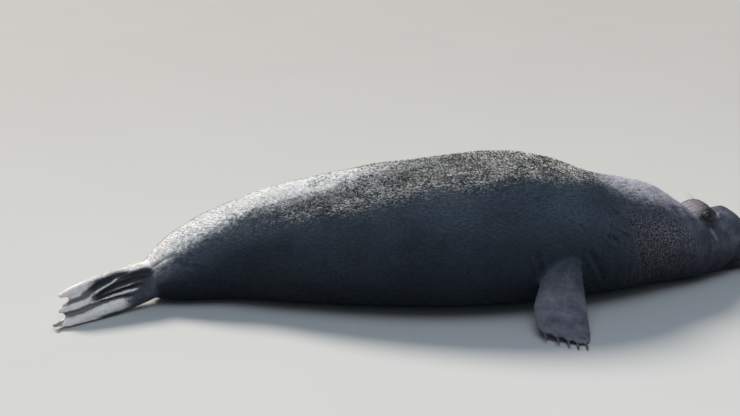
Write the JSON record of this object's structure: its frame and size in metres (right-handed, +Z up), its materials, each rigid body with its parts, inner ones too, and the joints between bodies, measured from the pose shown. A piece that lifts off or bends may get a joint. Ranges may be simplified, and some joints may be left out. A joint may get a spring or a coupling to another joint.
{
  "type": "elephant seal",
  "caption": "Life-size still model of a resting bull elephant seal, prone in a gentle curve, with drooping nose, fore flippers out and hind flippers folded sole to sole.",
  "frame": {"origin": "on the floor, under the middle of the whole animal's box", "axes": "+X towards the head along the longest extent, +Y to the seal's left, +Z up"},
  "size_m": [4.2614, 2.0734, 0.8089],
  "materials": {
    "flank_hide": "short flat slate-grey coat, matt, sandy and paler on the back",
    "neck_hide": "brown-grey wrinkled hide, matt, scarred and speckled on the neck",
    "flipper_hide": "bare-looking purple-grey hide, matt",
    "eye_dark": "wet black-brown gloss",
    "claw_horn": "dark horn, satin"
  },
  "bodies": {
    "root": {"rump": "flank_hide", "abdomen": "flank_hide", "chest": "flank_hide", "tail": "flank_hide", "neck": "neck_hide", "head": "neck_hide", "proboscis": "neck_hide", "lower_jaw": "neck_hide", "fore_flipper_right": "flipper_hide", "fore_flipper_left": "flipper_hide", "hind_flipper_right": "flipper_hide", "hind_flipper_left": "flipper_hide", "eye_right": "eye_dark", "eye_left": "eye_dark", "claw_right_1": "claw_horn", "claw_right_2": "claw_horn", "claw_right_3": "claw_horn", "claw_right_4": "claw_horn", "claw_right_5": "claw_horn", "claw_left_1": "claw_horn", "claw_left_2": "claw_horn", "claw_left_3": "claw_horn", "claw_left_4": "claw_horn", "claw_left_5": "claw_horn"}
  },
  "joints": []
}
